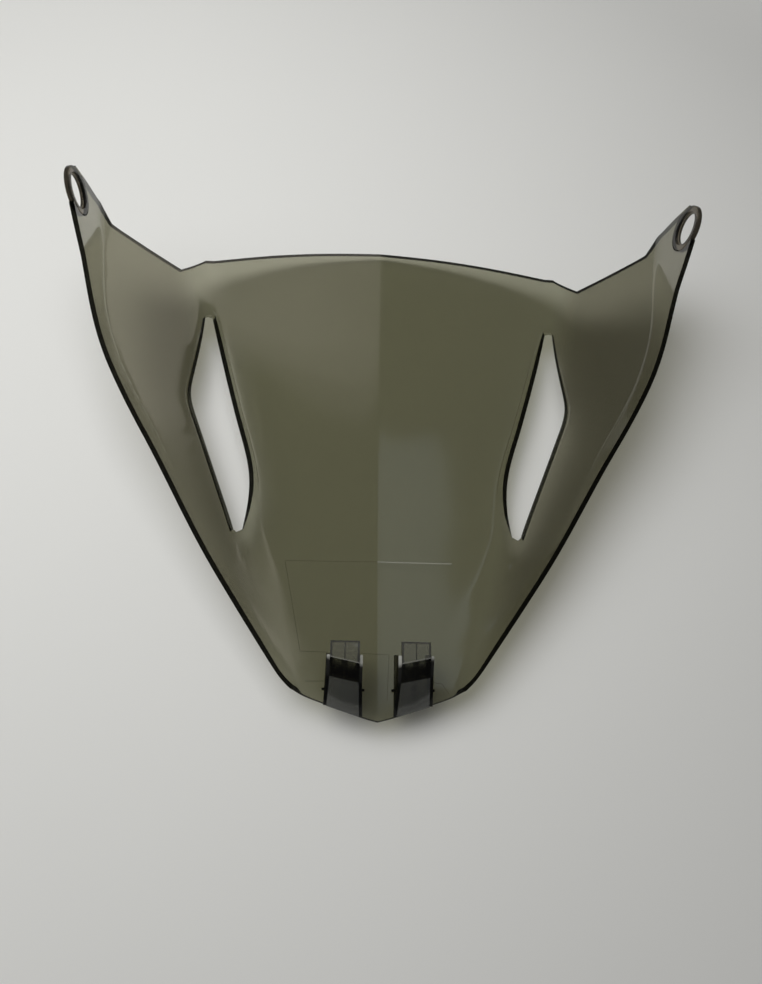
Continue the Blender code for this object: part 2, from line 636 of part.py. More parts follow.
def main():
    """Build the whole screen."""
    for thing in list(bpy.data.objects):
        bpy.data.objects.remove(thing, do_unlink=True)
    smoked = make_material("smoked_polycarbonate", (0.16, 0.155, 0.11), 0.06, 0.6)
    eyelet_skin = make_material("eyelet_polycarbonate", (0.24, 0.22, 0.18), 0.25, 0.8)
    make_screen(smoked)
    for side, word in ((-1, "left"), (1, "right")):
        make_eyelet(word, side, eyelet_skin)
    left_clip = make_clip("left", -1, smoked)
    make_mirrored(left_clip, "hook_clip_right", smoked)


main()
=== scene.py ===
"""Scooter windshield screen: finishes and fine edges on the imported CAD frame.

The screen lies on its outer face on a pale table. Every piece is a copy of its CAD node whose
loose triangles are merged, rounded off and given its moulded plastic.
"""

import math

import bmesh
import bpy
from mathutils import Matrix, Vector
from mathutils.bvhtree import BVHTree


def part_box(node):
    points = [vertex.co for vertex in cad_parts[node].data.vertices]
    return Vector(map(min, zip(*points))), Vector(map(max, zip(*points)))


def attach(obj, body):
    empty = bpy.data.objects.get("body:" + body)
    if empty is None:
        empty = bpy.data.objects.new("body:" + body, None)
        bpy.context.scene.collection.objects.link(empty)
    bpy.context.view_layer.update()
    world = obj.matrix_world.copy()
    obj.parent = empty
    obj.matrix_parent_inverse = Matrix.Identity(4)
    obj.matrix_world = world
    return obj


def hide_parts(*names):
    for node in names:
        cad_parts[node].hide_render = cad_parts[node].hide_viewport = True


bl_info = {
    "name": "Windshield screen",
    "version": (1, 0, 0),
    "blender": (4, 5, 0),
    "location": "3D View > Sidebar > Screen",
    "description": "Builds the smoked windshield screen, its clips, its eyelets and a table",
    "category": "Object",
}

MM = 0.001
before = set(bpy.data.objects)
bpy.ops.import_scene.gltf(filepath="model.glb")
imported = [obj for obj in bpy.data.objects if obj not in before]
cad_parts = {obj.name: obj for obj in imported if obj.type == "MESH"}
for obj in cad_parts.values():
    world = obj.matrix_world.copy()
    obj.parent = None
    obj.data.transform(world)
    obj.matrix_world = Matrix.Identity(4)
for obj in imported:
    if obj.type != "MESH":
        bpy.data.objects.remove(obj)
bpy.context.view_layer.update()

# Meshes.
MERGE_GAP = 1e-6
QUAD_BEND = math.radians(40)
QUAD_SKEW = math.radians(50)
CORNER_ANGLE = math.radians(28)    # a crease that turns by more keeps a sharp corner
BEVEL_ANGLE = math.radians(34)
SHADE_ANGLE = math.radians(40)

# Screen: x runs across from the keel, y up towards the top edge.
WALL = 3.0 * MM                    # moulded wall of the CAD screen
CUT_ANGLE = math.radians(50)       # a face of the cut edge has a bend of more than this beside it
CUT_DEPTH = 1.35 * WALL            # and deeper plastic than this behind it
RAY_START = 0.02 * MM              # under the face, where that depth is taken
FOLD_ANGLE = math.radians(6.5)
FOLD_LENGTH = 4 * MM               # a shorter edge is no pressed fold
KEEL_WIDTH = 0.01 * MM
GUTTERS = ((78 * MM, 92 * MM, -64 * MM, -55 * MM),       # x from, to, y from, to on both sides
           (105 * MM, 128 * MM, 92 * MM, 110 * MM))
# Painted shade: the flanks past the slots get darker smoke for the shaded table seen through
# them.
FLANK_SLANT = 0.27                 # the flanks' border moves out this much for each step of y
FLANK_SHADE_BORDER = (0.088, 0.112)      # where the flank smoke sets in, and where it is full
EAR_REACH = 17 * MM                # an ear's corner lies within this of its eyelet's middle
EAR_RISE = 4 * MM                  # and more than this above it
EAR_EASE = 0.085                   # share of that distance by which the corner is drawn in
MOULD_LINES = [[value * MM for value in line] for line in (
    (-57.1, -71.8, 0.0, -69.2), (-57.1, -71.8, -45.3, -127.2),
    (-45.3, -127.2, -7.4, -127.2), (-7.4, -127.2, 6.8, -127.6), (6.8, -127.6, 5.4, -153.8),
    (-41.6, -144.4, -31.0, -144.0), (29.5, -143.4, 36.8, -144.6), (36.8, -144.6, 40.5, -150.3),
)]
# Painted highlight along one stretch of the moulded outline.
GLINT_LINES = [[value * MM for value in line] for line in ((0.0, -69.2, 46.0, -70.6),)]
MOULD_LINE_HALF = 0.25 * MM        # half widths
GLINT_LINE_HALF = 0.3 * MM
SCREEN_DUST = 900.0                # scale of the dust noise: the higher, the finer

# Eyelets.
EYELET_AXIS = (0.98471, -0.128012, -0.118165)            # of the right one
EYELET_DUST = 1500.0

# Hook clips.
CAD_CLIP = "hook_clip_right"
CLIP_HALF_WIDTH = 8.3 * MM
CLIP_MIDDLE = 19.9 * MM            # from the keel
CLIP_CROWN = 5.5 * MM              # nose, tongue and cheek tops lie this near the highest point
CLIP_DUST = 1200.0
TONGUE_END = -124.2 * MM
TONGUE_HALF_WIDTH = 7.6 * MM
RIB_LINE_HALF = 0.35 * MM
SIDE_LINE_HALF = 0.6 * MM
END_LINE_HALF = 1.0 * MM
ROOT_SLOPE = 0.2134                # the bend at the root leans this much across the clip
ROOT_LINE = -139.2 * MM
# Painted highlight along the root bend.
ROOT_GLINT = (ROOT_LINE + 0.4 * MM, 0.3 * MM)            # middle and half width
# A clip's nose is painted dark as the shade under its tongue, lighter towards its root:
NOSE_RISE = (ROOT_LINE - 6.0 * MM, ROOT_LINE + 1.0 * MM)
NOSE_INSIDE = (0.3 * MM, 2.5 * MM)                       # lightens away from the rib
NOSE_OUTSIDE = (5.0 * MM, 7.5 * MM)                      # darkens again towards the cheeks
# Along this stretch the painted highlight on a cheek's top fades in.
CHEEK_HIGHLIGHT_FADE = (ROOT_LINE - 2.0 * MM, ROOT_LINE + 1.0 * MM)

# Plastic.
REFRACTION = 1.58
CLOUD_SCALE = 9.0
CLOUD_SPREAD = 0.015               # the smoke wavers by this share either way
RIPPLE_STRENGTH = 0.05
RIPPLE_HEIGHT = 0.2 * MM
DUST_RANGE = (0.35, 0.75)          # dust noise from clean to dusty
DUST_HAZE = (0.6, 1.6)             # shares of the haze where it is clean and where it is dusty
DUST_ROUGHNESS = (0.7, 1.6)        # and of the roughness
GLINT_VEIL = 0.55                  # share of pale skin painted on where a highlight goes

# Stage.
TABLE_FADE = (0.5, 0.95)           # how far out the table turns evenly pale
TABLE_FAR = 0.9                    # share of the table's colour out there
LAMP_COLOUR = (1.0, 0.998, 0.99)
WARM = (1.0, 0.93, 0.82)
COOL = (0.78, 0.90, 1.0)
KEY_LAMPS = (                      # name, place, size, power
    ("key_softbox", (-0.20, 0.24, 0.80), 0.62, 4.1),
    ("left_window", (-0.80, 0.10, 1.00), 1.00, 6.0),
)
GLEAMS = (                         # name, place, size, power, colour, seen as reflections alone
    ("warm_gleam_small", (0.54, 1.13, 1.23), 0.55, 0.20, WARM),
    ("warm_gleam_middle", (0.55, 1.15, 1.25), 0.75, 0.55, WARM),
    ("warm_gleam_large", (0.56, 1.17, 1.27), 0.95, 0.95, WARM),
    ("cool_gleam", (-0.11, 0.39, 1.00), 0.17, 0.045, COOL),
)


class ScreenSettings(bpy.types.PropertyGroup):
    """Sizes and colours of the smoked screen."""

    tint: bpy.props.FloatVectorProperty(
        name="Smoke", description="Colour that one skin of the wall lets through",
        default=(0.615, 0.612, 0.53), size=3, min=0.0, max=1.0, subtype="COLOR")
    # Darker smoke painted on the flanks as shade; their wall is as thick as the rest of the
    # screen.
    flank_shade_tint: bpy.props.FloatVectorProperty(
        name="Flank smoke", description="Colour that one skin of the thicker flanks lets through",
        default=(0.505, 0.495, 0.42), size=3, min=0.0, max=1.0, subtype="COLOR")
    cut_tint: bpy.props.FloatVectorProperty(
        name="Edge smoke", description="Colour that the wall's cut edge lets through",
        default=(0.03, 0.03, 0.026), size=3, min=0.0, max=1.0, subtype="COLOR")
    edge_round: bpy.props.FloatProperty(
        name="Edge rounding", description="Radius along the wall's edges",
        default=0.6 * MM, min=0.0, unit="LENGTH", subtype="DISTANCE")
    roughness: bpy.props.FloatProperty(
        name="Roughness", description="Roughness of the polished wall",
        default=0.08, min=0.0, max=1.0, subtype="FACTOR")


class EyeletSettings(bpy.types.PropertyGroup):
    """Sizes and colours of the ear eyelets."""

    tint: bpy.props.FloatVectorProperty(
        name="Smoke", description="Colour that one skin of an eyelet lets through",
        default=(0.42, 0.39, 0.34), size=3, min=0.0, max=1.0, subtype="COLOR")
    side_tint: bpy.props.FloatVectorProperty(
        name="Side smoke", description="Colour that the turned sides and the bore let through",
        default=(0.12, 0.11, 0.09), size=3, min=0.0, max=1.0, subtype="COLOR")
    edge_round: bpy.props.FloatProperty(
        name="Edge rounding", description="Radius along the eyelet's edges",
        default=0.25 * MM, min=0.0, unit="LENGTH", subtype="DISTANCE")


class ClipSettings(bpy.types.PropertyGroup):
    """Sizes and colours of the hook clips."""

    tint: bpy.props.FloatVectorProperty(
        name="Smoke", description="Colour that one skin of a clip's web lets through",
        default=(0.56, 0.565, 0.55), size=3, min=0.0, max=1.0, subtype="COLOR")
    # Dark smoke of the clip's edges, also painted on the nose as the shade under the tongue.
    edge_and_nose_shade_tint: bpy.props.FloatVectorProperty(
        name="Edge smoke", description="Colour that the nose, the rib and the edges let through",
        default=(0.10, 0.10, 0.09), size=3, min=0.0, max=1.0, subtype="COLOR")
    tongue_tint: bpy.props.FloatVectorProperty(
        name="Tongue smoke", description="Colour that one skin of the tongue lets through",
        default=(0.74, 0.74, 0.70), size=3, min=0.0, max=1.0, subtype="COLOR")
    # Pale colour painted on the cheek tops as a highlight.
    cheek_highlight_colour: bpy.props.FloatVectorProperty(
        name="Cheek tops", description="Colour of the pale worn tops of the cheeks",
        default=(0.55, 0.55, 0.50), size=3, min=0.0, max=1.0, subtype="COLOR")
    edge_round: bpy.props.FloatProperty(
        name="Edge rounding", description="Radius along the clip's edges",
        default=0.3 * MM, min=0.0, unit="LENGTH", subtype="DISTANCE")


class StageSettings(bpy.types.PropertyGroup):
    """Table, lamps and camera."""

    table_colour: bpy.props.FloatVectorProperty(
        name="Table", description="Colour of the pale table",
        default=(0.80, 0.80, 0.775), size=3, min=0.0, max=1.0, subtype="COLOR")
    room_light: bpy.props.FloatProperty(
        name="Room light", description="Strength of the soft light from all round",
        default=0.10, min=0.0)
    room_seen: bpy.props.FloatProperty(
        name="Room paleness", description="How pale the room behind the table looks",
        default=0.85, min=0.0)
    table_size: bpy.props.FloatProperty(
        name="Table size", description="Side of the square table",
        default=6.0, min=1.0, unit="LENGTH", subtype="DISTANCE")
    lens: bpy.props.FloatProperty(
        name="Lens", description="Focal length on a 24 mm high frame, in millimetres",
        default=18.035, min=1.0)
    camera_place: bpy.props.FloatVectorProperty(
        name="Camera place", description="Where the camera stands",
        default=(-0.03193, -0.19506, 0.45175), size=3, subtype="TRANSLATION")
    camera_turn: bpy.props.FloatVectorProperty(
        name="Camera turn", description="Tilt, roll and pan of the camera",
        default=(math.radians(21.081), math.radians(-4.494), math.radians(0.440)),
        size=3, subtype="EULER")


def deselect():
    """Nothing selected, nothing active."""
    bpy.ops.object.select_all(action="DESELECT")
    bpy.context.view_layer.objects.active = None


def make_active(thing):
    """Select one object alone."""
    deselect()
    thing.select_set(True)
    bpy.context.view_layer.objects.active = thing


def new_material(name):
    """Empty node material with its output."""
    material = bpy.data.materials.new(name)
    material.use_nodes = True
    tree = material.node_tree
    tree.nodes.clear()
    output = tree.nodes.new("ShaderNodeOutputMaterial")
    return material, tree, output


def calculate(tree, operation, *values):
    """Output of a math node whose inputs are plain numbers or other outputs."""
    node = tree.nodes.new("ShaderNodeMath")
    node.operation = operation
    for slot, value in zip(node.inputs, values):
        if isinstance(value, (int, float)):
            slot.default_value = value
        else:
            tree.links.new(value, slot)
    return node.outputs["Value"]


def leaning(tree, place, slope):
    """Outputs |x| and y - slope * |x| of the object's own coordinates."""
    axes = tree.nodes.new("ShaderNodeSeparateXYZ")
    tree.links.new(place.outputs["Object"], axes.inputs["Vector"])
    across = calculate(tree, "ABSOLUTE", axes.outputs["X"])
    return across, calculate(tree, "MULTIPLY_ADD", across, -slope, axes.outputs["Y"])


def map_range(tree, value, start, end, kind="LINEAR"):
    """Output that carries one pair of numbers over to another and stays between them."""
    node = tree.nodes.new("ShaderNodeMapRange")
    node.interpolation_type = kind
    for word, number in zip(("From Min", "From Max", "To Min", "To Max"), (*start, *end)):
        node.inputs[word].default_value = number
    tree.links.new(value, node.inputs["Value"])
    return node.outputs["Result"]


def smooth_ramp(tree, value, low, high):
    """Output that rises smoothly from nought at low to one at high."""
    return map_range(tree, value, (low, high), (0.0, 1.0), "SMOOTHSTEP")


def noise(tree, place, scale, detail, roughness=0.5):
    """Output of a noise on the object's own coordinates."""
    node = tree.nodes.new("ShaderNodeTexNoise")
    node.inputs["Scale"].default_value = scale
    node.inputs["Detail"].default_value = detail
    node.inputs["Roughness"].default_value = roughness
    tree.links.new(place.outputs["Object"], node.inputs["Vector"])
    return node.outputs["Fac"]


def mottled(tree, colour, spread, share):
    """Output that wavers by a small share either side of a colour."""
    mix = tree.nodes.new("ShaderNodeMix")
    mix.data_type = "RGBA"
    mix.inputs["A"].default_value = (*(c * (1.0 - spread) for c in colour), 1.0)
    mix.inputs["B"].default_value = (*(min(1.0, c * (1.0 + spread)) for c in colour), 1.0)
    tree.links.new(share, mix.inputs["Factor"])
    return mix.outputs["Result"]


def tint_mix(tree, colour, other, share):
    """Output between a colour from another node and a given one."""
    mix = tree.nodes.new("ShaderNodeMix")
    mix.data_type = "RGBA"
    mix.inputs["B"].default_value = (*other, 1.0)
    tree.links.new(share, mix.inputs["Factor"])
    tree.links.new(colour, mix.inputs["A"])
    return mix.outputs["Result"]


def shader_mix(tree, share, first, second):
    """Output of one shader that gives way to another."""
    mix = tree.nodes.new("ShaderNodeMixShader")
    tree.links.new(share, mix.inputs["Fac"])
    tree.links.new(first, mix.inputs[1])
    tree.links.new(second, mix.inputs[2])
    return mix.outputs["Shader"]


def scribed_lines(tree, place, lines, half_width):
    """Output that is one on thin straight lines, each given in plan as x, y, x, y."""
    total = None
    for x_from, y_from, x_to, y_to in lines:
        length = math.hypot(x_to - x_from, y_to - y_from)
        along = ((x_to - x_from) / length, (y_to - y_from) / length)
        middle = ((x_from + x_to) / 2, (y_from + y_to) / 2)
        inside = None
        for way, reach in ((along, length / 2), ((-along[1], along[0]), half_width)):
            dot = tree.nodes.new("ShaderNodeVectorMath")
            dot.operation = "DOT_PRODUCT"
            dot.inputs[1].default_value = (*way, 0.0)
            tree.links.new(place.outputs["Object"], dot.inputs[0])
            centre = way[0] * middle[0] + way[1] * middle[1]
            near = calculate(tree, "COMPARE", dot.outputs["Value"], centre, reach)
            inside = calculate(tree, "MULTIPLY", inside, near) if inside else near
        total = calculate(tree, "MAXIMUM", total, inside) if total else inside
    return total


def flank_shade_share(tree, place):
    """Output that runs from nought on the middle panel to one on the flanks past the slots, where
    darker smoke is painted on as shade.
    """
    across, lean = leaning(tree, place, 0.0)
    slant = calculate(tree, "MULTIPLY_ADD", lean, -FLANK_SLANT, across)
    return smooth_ramp(tree, slant, *FLANK_SHADE_BORDER)


def screen_marks(tree, place):
    """Faint moulded outline round the lower middle of the screen."""
    return scribed_lines(tree, place, MOULD_LINES, MOULD_LINE_HALF)


def screen_glint(tree, place):
    """The stretch of that outline that catches the light."""
    return scribed_lines(tree, place, GLINT_LINES, GLINT_LINE_HALF)


def tongue_marks(tree, place):
    """Rib, end and sides of a clip's tongue, as dark lines of their own half widths."""
    across, lean = leaning(tree, place, 0.0)
    total = calculate(tree, "COMPARE", lean, TONGUE_END, END_LINE_HALF)
    for centre, half in ((CLIP_MIDDLE, RIB_LINE_HALF),
                         (CLIP_MIDDLE - TONGUE_HALF_WIDTH, SIDE_LINE_HALF),
                         (CLIP_MIDDLE + TONGUE_HALF_WIDTH, SIDE_LINE_HALF)):
        line = calculate(tree, "COMPARE", across, centre, half)
        total = calculate(tree, "MAXIMUM", total, line)
    return total


def root_glint(tree, place):
    """Painted highlight along the slanting bend where a clip's tongue leaves its nose."""
    line = calculate(tree, "COMPARE", leaning(tree, place, ROOT_SLOPE)[1], *ROOT_GLINT)
    return calculate(tree, "MULTIPLY", line, 0.5)


def nose_share(tree, place):
    """Output that lightens the painted shade on a clip's nose towards its root, on both sides of
    the rib.
    """
    across, lean = leaning(tree, place, ROOT_SLOPE)
    rise = smooth_ramp(tree, lean, *NOSE_RISE)
    beside = calculate(tree, "ABSOLUTE", calculate(tree, "SUBTRACT", across, CLIP_MIDDLE))
    inside = smooth_ramp(tree, beside, *NOSE_INSIDE)
    outside = calculate(tree, "SUBTRACT", 1.0, smooth_ramp(tree, beside, *NOSE_OUTSIDE))
    return calculate(tree, "MULTIPLY", rise, calculate(tree, "MULTIPLY", inside, outside))


def cheek_glint(tree, place):
    """Painted highlight on the end of a cheek's top."""
    return smooth_ramp(tree, leaning(tree, place, ROOT_SLOPE)[1], *CHEEK_HIGHLIGHT_FADE)


def smoked_plastic(name, tint, roughness, haze, dust_scale, skin_tint=None, second_tint=None,
                   second_share=None, marks=None, mark_depth=0.75, glint=None,
                   gloss_level=1.0):
    """Clear smoked plastic: tinted light straight through, a gloss on its outer side.

    second_share, marks and glint each make an output from nought to one: where the second
    tint takes over, where thin darker lines run, and where a pale skin is painted on as a
    highlight. The skin has half the tint, where skin_tint gives nothing else.
    """
    material, tree, output = new_material(name)
    add, link = tree.nodes.new, tree.links.new
    place = add("ShaderNodeTexCoord")
    facing = add("ShaderNodeNewGeometry")
    outer_side = calculate(tree, "SUBTRACT", 1.0, facing.outputs["Backfacing"])
    cloud = noise(tree, place, CLOUD_SCALE, detail=3.0)
    dust = noise(tree, place, dust_scale, detail=6.0, roughness=0.7)

    colour = mottled(tree, tint, CLOUD_SPREAD, cloud)
    if second_share:
        colour = tint_mix(tree, colour, second_tint, second_share(tree, place))
    if marks:
        share = calculate(tree, "MULTIPLY", marks(tree, place), outer_side)
        colour = tint_mix(tree, colour, [c * mark_depth for c in tint], share)
    through = add("ShaderNodeBsdfTransparent")
    link(colour, through.inputs["Color"])
    skin = add("ShaderNodeBsdfDiffuse")
    skin.inputs["Color"].default_value = (*(skin_tint or [0.5 * c for c in tint]), 1.0)
    veil = map_range(tree, dust, DUST_RANGE, [haze * share for share in DUST_HAZE])
    # A glint paints the pale skin on as a highlight.
    if glint:
        share = calculate(tree, "MULTIPLY", glint(tree, place), outer_side)
        veil = calculate(tree, "MULTIPLY_ADD", share, GLINT_VEIL, veil)
    body = shader_mix(tree, veil, through.outputs["BSDF"], skin.outputs["BSDF"])

    ripple = add("ShaderNodeBump")
    ripple.inputs["Strength"].default_value = RIPPLE_STRENGTH
    ripple.inputs["Distance"].default_value = RIPPLE_HEIGHT
    link(cloud, ripple.inputs["Height"])
    gloss = add("ShaderNodeBsdfGlossy")
    gloss.inputs["Color"].default_value = (gloss_level, gloss_level, gloss_level, 1.0)
    link(map_range(tree, dust, (0.0, 1.0), [roughness * share for share in DUST_ROUGHNESS]),
         gloss.inputs["Roughness"])
    link(ripple.outputs["Normal"], gloss.inputs["Normal"])
    mirror = add("ShaderNodeFresnel")
    mirror.inputs["IOR"].default_value = REFRACTION
    link(ripple.outputs["Normal"], mirror.inputs["Normal"])
    share = calculate(tree, "MULTIPLY", mirror.outputs["Fac"], outer_side)
    link(shader_mix(tree, share, body, gloss.outputs["BSDF"]), output.inputs["Surface"])
    return material


def merged_copy(node_name, name, materials, pick_slot):
    """Copy of a CAD node with its triangles merged into quads.

    pick_slot gives each merged triangle its material slot.
    """
    make_active(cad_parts[node_name])
    bpy.ops.object.duplicate()
    piece = bpy.context.view_layer.objects.active
    piece.name = name
    piece.data.name = name
    for word in ("custom_normal", "sharp_edge", "sharp_face"):
        if word in piece.data.attributes:
            piece.data.attributes.remove(piece.data.attributes[word])
    bpy.ops.object.mode_set(mode="EDIT")
    bpy.ops.mesh.select_all(action="SELECT")
    bpy.ops.mesh.remove_doubles(threshold=MERGE_GAP)
    bpy.ops.object.mode_set(mode="OBJECT")
    piece.data.materials.clear()
    for material in materials:
        piece.data.materials.append(material)
    for face, slot in zip(piece.data.polygons, pick_slot(piece)):
        face.material_index = slot
    bpy.ops.object.mode_set(mode="EDIT")
    bpy.ops.mesh.select_all(action="SELECT")
    bpy.ops.mesh.tris_convert_to_quads(face_threshold=QUAD_BEND, shape_threshold=QUAD_SKEW,
                                       materials=True)
    bpy.ops.mesh.select_all(action="DESELECT")
    bpy.ops.object.mode_set(mode="OBJECT")
    return piece


def is_fold(edge):
    """A pressed line that runs along the screen: the keel, or a shallow fold beside a slot."""
    if all(abs(corner.co.x) < KEEL_WIDTH for corner in edge.verts):
        return True
    if len(edge.link_faces) != 2 or edge.calc_length() < FOLD_LENGTH:
        return False
    line = edge.verts[1].co - edge.verts[0].co
    return (edge.calc_face_angle(0.0) > FOLD_ANGLE and abs(line.y) > 1.2 * abs(line.x)
            and min(abs(face.normal.z) for face in edge.link_faces) > 0.6)


def crease_edges(piece, sharp_angle, fold_test):
    """Crease the sharp edges, and pin the corners where a crease turns or three meet."""
    bm = bmesh.new()
    bm.from_mesh(piece.data)
    edge_crease = bm.edges.layers.float.get("crease_edge")
    if edge_crease is None:
        edge_crease = bm.edges.layers.float.new("crease_edge")
    corner_crease = bm.verts.layers.float.get("crease_vert")
    if corner_crease is None:
        corner_crease = bm.verts.layers.float.new("crease_vert")
    sharp = set()
    for edge in bm.edges:
        if edge.calc_face_angle(0.0) > sharp_angle or (fold_test and fold_test(edge)):
            edge[edge_crease] = 1.0
            sharp.add(edge)
    for corner in bm.verts:
        lines = [e for e in corner.link_edges if e in sharp]
        if len(lines) > 2:
            corner[corner_crease] = 1.0
        elif len(lines) == 2:
            a, b = (e.other_vert(corner).co - corner.co for e in lines)
            if math.pi - a.angle(b) > CORNER_ANGLE:
                corner[corner_crease] = 1.0
    bm.to_mesh(piece.data)
    bm.free()


def in_gutter(point):
    """Whether a point lies in one of the gutters that run out of the slots' ends."""
    return any(low_x < abs(point.x) < high_x and low_y < point.y < high_y
               for low_x, high_x, low_y, high_y in GUTTERS)


def cut_edge_slots(piece):
    """Slot 1 for the wall's cut edge, where the plastic behind is deeper than the wall."""
    bm = bmesh.new()
    bm.from_mesh(piece.data)
    bm.normal_update()
    tree = BVHTree.FromBMesh(bm)
    slots = []
    for face in bm.faces:
        slots.append(0)
        middle = face.calc_center_median()
        flat = all(edge.calc_face_angle(0.0) < CUT_ANGLE for edge in face.edges)
        if flat or in_gutter(middle):
            continue
        starts = [middle] + [middle.lerp(corner.co, 0.8) for corner in face.verts]
        depths = [tree.ray_cast(start - face.normal * RAY_START, -face.normal)[3]
                  for start in starts]
        if max(depth or 0.0 for depth in depths) > CUT_DEPTH:
            slots[-1] = 1
    bm.free()
    return slots


def clip_slots(piece):
    """Slots of a clip: 0 web, 1 cheeks and edges, 2 tongue, 3 tops of the cheeks, 4 nose."""
    low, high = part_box(CAD_CLIP)
    middle = (abs(low[0]) + abs(high[0])) / 2
    slots = []
    for face in piece.data.polygons:
        upright = abs(face.normal.z)
        beside = abs(abs(face.center.x) - middle) > CLIP_HALF_WIDTH
        raised = face.center.z > high[2] - CLIP_CROWN
        if raised and beside and upright > 0.35:
            slots.append(3)
        elif raised and upright > 0.985:
            slots.append(2)
        elif beside or upright < 0.5:
            slots.append(1)
        elif raised:
            slots.append(4)
        else:
            slots.append(0)
    return slots


def ease_ear_corners(piece):
    """Draw the sharp top corner of each ear in to the eyelet that it carries."""
    for word in ("left", "right"):
        low, high = (Vector(end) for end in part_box(f"eyelet_{word}"))
        centre = (low + high) / 2
        for corner in piece.data.vertices:
            away = corner.co - centre
            if away.length < EAR_REACH and corner.co.y > high.y and away.z > EAR_RISE:
                corner.co -= away * EAR_EASE


def eyelet_slots(piece):
    """Slots of an eyelet: 0 its flat rings, 1 its turned sides and its bore."""
    faces = piece.data.polygons
    side = 1.0 if faces[0].center.x > 0 else -1.0
    axis = Vector((side * EYELET_AXIS[0], *EYELET_AXIS[1:]))
    return [1 if abs(face.normal.dot(axis)) < 0.5 else 0 for face in faces]


def apply_modifier(piece, kind, **values):
    """Add a modifier, set it and apply it."""
    make_active(piece)
    modifier = piece.modifiers.new(kind.lower(), kind)
    for key, value in values.items():
        setattr(modifier, key, value)
    bpy.ops.object.modifier_apply(modifier=modifier.name)


def finish_edges(piece, radius, levels, sharp_angle, fold_test=None, round_slot=-1):
    """Smooth the faces, round the sharp edges and shade the piece.

    round_slot is the material slot of the rounded edges, or -1 for that of the faces beside.
    """
    crease_edges(piece, sharp_angle, fold_test)
    if levels:
        apply_modifier(piece, "SUBSURF", levels=levels, render_levels=levels)
    apply_modifier(piece, "BEVEL", width=radius, segments=2, limit_method="ANGLE",
                   angle_limit=BEVEL_ANGLE, use_clamp_overlap=True, harden_normals=False,
                   material=round_slot)
    make_active(piece)
    bpy.ops.object.shade_smooth_by_angle(angle=SHADE_ANGLE)
    if fold_test:
        creases = piece.data.attributes["crease_edge"].data
        for edge in piece.data.edges:
            if creases[edge.index].value > 0.5:
                edge.use_edge_sharp = True


class WINDSHIELD_OT_screen_panel(bpy.types.Operator):
    """Build the smoked screen with its dark cut edges"""

    bl_idname = "windshield.screen_panel"
    bl_label = "Screen panel"

    def execute(self, context):
        """Merge, round and finish the screen."""
        settings = context.scene.windshield_screen
        # The flanks get darker smoke as painted shade.
        plate = smoked_plastic(
            "smoked_polycarbonate", settings.tint, settings.roughness, haze=0.03,
            dust_scale=SCREEN_DUST, second_tint=settings.flank_shade_tint, second_share=flank_shade_share,
            marks=screen_marks, glint=screen_glint)
        edge = smoked_plastic("smoked_cut_edge", settings.cut_tint, settings.roughness,
                              haze=0.02, dust_scale=SCREEN_DUST, gloss_level=0.15)
        piece = merged_copy("screen_panel", "smoked_screen_panel", (plate, edge),
                            cut_edge_slots)
        ease_ear_corners(piece)
        finish_edges(piece, settings.edge_round, levels=2, sharp_angle=math.radians(38),
                     fold_test=is_fold, round_slot=1)
        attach(piece, "root")
        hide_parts("screen_panel")
        return {"FINISHED"}


class WINDSHIELD_OT_eyelets(bpy.types.Operator):
    """Build the two ear eyelets"""

    bl_idname = "windshield.eyelets"
    bl_label = "Ear eyelets"

    def execute(self, context):
        """Merge, round and finish both eyelets."""
        settings = context.scene.windshield_eyelets
        plastic = smoked_plastic("eyelet_polycarbonate", settings.tint, roughness=0.15,
                                 haze=0.08, dust_scale=EYELET_DUST, gloss_level=0.6)
        turned = smoked_plastic("eyelet_turned_side", settings.side_tint, roughness=0.15,
                                haze=0.05, dust_scale=EYELET_DUST, gloss_level=0.5)
        for word in ("left", "right"):
            piece = merged_copy(f"eyelet_{word}", f"turned_eyelet_{word}", (plastic, turned),
                                eyelet_slots)
            finish_edges(piece, settings.edge_round, levels=1, sharp_angle=math.radians(30))
            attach(piece, "root")
            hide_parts(f"eyelet_{word}")
        return {"FINISHED"}


class WINDSHIELD_OT_hook_clips(bpy.types.Operator):
    """Build the two lower hook clips"""

    bl_idname = "windshield.hook_clips"
    bl_label = "Hook clips"

    def execute(self, context):
        """Merge, round and finish both clips."""
        settings = context.scene.windshield_clips
        finishes = (
            smoked_plastic("clip_web", settings.tint, roughness=0.12, haze=0.30,
                           dust_scale=CLIP_DUST, skin_tint=(0.105, 0.11, 0.105)),
            smoked_plastic("clip_edge", settings.edge_and_nose_shade_tint, roughness=0.10, haze=0.02,
                           dust_scale=CLIP_DUST, gloss_level=0.35),
            # tongue: dark lines, and a painted highlight along its root
            smoked_plastic("clip_tongue", settings.tongue_tint, roughness=0.12, haze=0.10,
                           dust_scale=CLIP_DUST, skin_tint=(0.35, 0.35, 0.32),
                           marks=tongue_marks, mark_depth=0.2, glint=root_glint),
            # cheek tops: edge smoke, with a pale highlight painted on at their ends
            smoked_plastic("clip_cheek_top_highlight", settings.edge_and_nose_shade_tint, roughness=0.2, haze=0.02,
                           dust_scale=CLIP_DUST, skin_tint=settings.cheek_highlight_colour,
                           glint=cheek_glint, gloss_level=0.5),
            # nose: dark smoke painted as the shade under the tongue, lighter towards the root
            smoked_plastic("clip_nose_shade", settings.edge_and_nose_shade_tint, roughness=0.10, haze=0.02,
                           dust_scale=CLIP_DUST, second_tint=settings.tint,
                           second_share=nose_share, gloss_level=0.35),
        )
        for word in ("left", "right"):
            piece = merged_copy(f"hook_clip_{word}", f"moulded_hook_clip_{word}", finishes,
                                clip_slots)
            finish_edges(piece, settings.edge_round, levels=0, sharp_angle=math.radians(30),
                         round_slot=1)
            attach(piece, "root")
            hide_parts(f"hook_clip_{word}")
        return {"FINISHED"}


